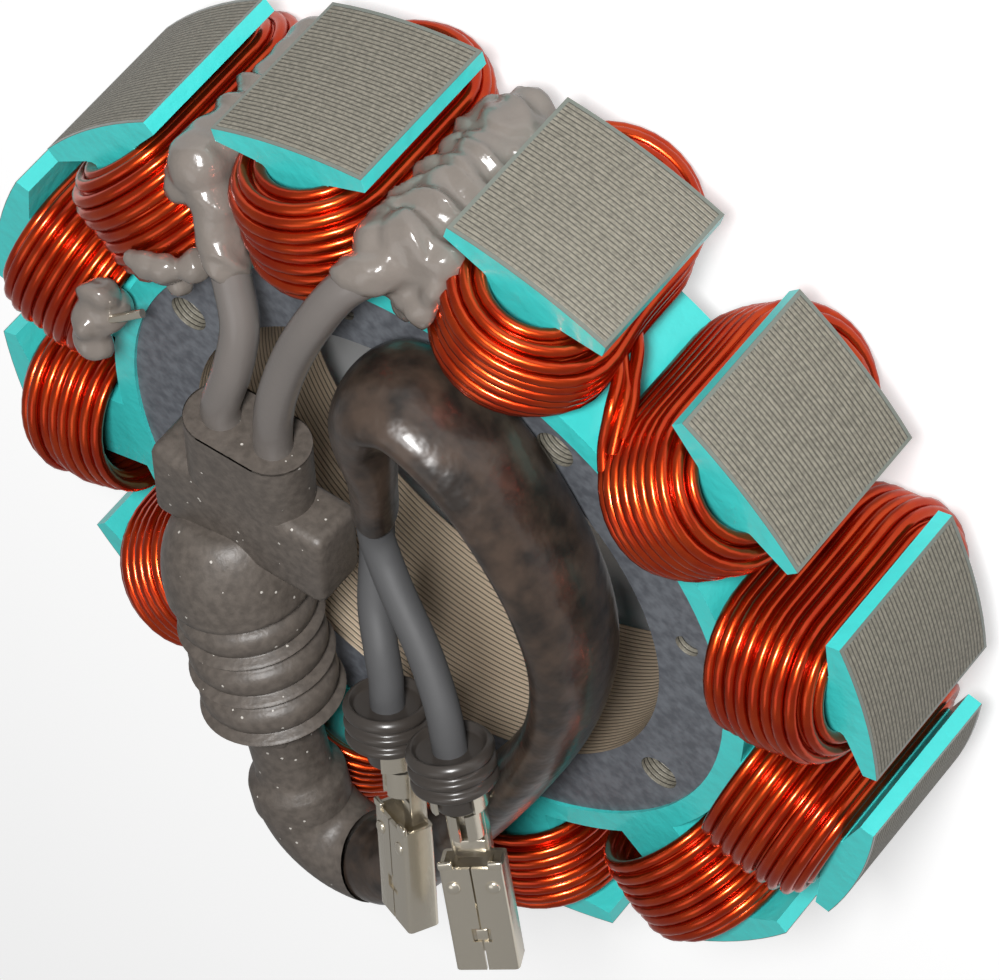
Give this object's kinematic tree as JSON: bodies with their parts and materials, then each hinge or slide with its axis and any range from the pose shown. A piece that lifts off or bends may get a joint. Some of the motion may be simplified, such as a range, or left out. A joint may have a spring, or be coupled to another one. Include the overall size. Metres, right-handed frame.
{
  "type": "wound stator",
  "caption": "Wound stator of a small flywheel generator: laminated twelve-tooth core, copper coils, rubber boot and a two-wire lead with open terminals",
  "frame": {"origin": "on the axis of the bore, at the level of the rear end turns, where the part lies on a table", "axes": "+Z along the bore towards the face that carries the lead, +X through the middle of the first tooth, the other teeth follow clockwise seen from +Z"},
  "size_m": [0.107, 0.107, 0.0479],
  "materials": {
    "steel_lamination": "bare punched sheet steel with faint mottling and lamination lines",
    "teal_coat": "glossy fused powder coat, slightly lumpy",
    "copper_enamel": "clear red enamel over round copper wire",
    "grey_sealant": "glossy wrinkled silicone",
    "tin": "bright tin plate on stamped brass",
    "grey_lead": "satin silicone insulation",
    "boot_rubber": "dusty matt moulded rubber",
    "black_sleeve": "semi-gloss soft tubing",
    "wire_jacket": "smooth insulation",
    "seal_rubber": "soft black rubber with a slight sheen"
  },
  "bodies": {
    "root": {"lamination_core": "steel_lamination", "insulation_coat": "teal_coat", "coil_01": "copper_enamel", "coil_02": "copper_enamel", "coil_03": "copper_enamel", "coil_04": "copper_enamel", "coil_05": "copper_enamel", "coil_06": "copper_enamel", "coil_07": "copper_enamel", "coil_08": "copper_enamel", "coil_09": "copper_enamel", "coil_10": "copper_enamel", "coil_11": "copper_enamel", "coil_12": "copper_enamel", "coil_jumpers": "copper_enamel", "lead_potting_1": "grey_sealant", "lead_potting_2": "grey_sealant", "lead_splice_1": "tin", "lead_splice_2": "tin", "ground_splice": "grey_sealant", "ground_tail": "tin", "neutral_splice": "grey_sealant", "lead_wire_1": "grey_lead", "lead_wire_2": "grey_lead", "rubber_boot": "boot_rubber", "sleeve": "black_sleeve", "wire_1": "wire_jacket", "wire_2": "wire_jacket", "wire_seal_1": "seal_rubber", "wire_seal_2": "seal_rubber", "terminal_1": "tin", "terminal_2": "tin"}
  },
  "joints": []
}
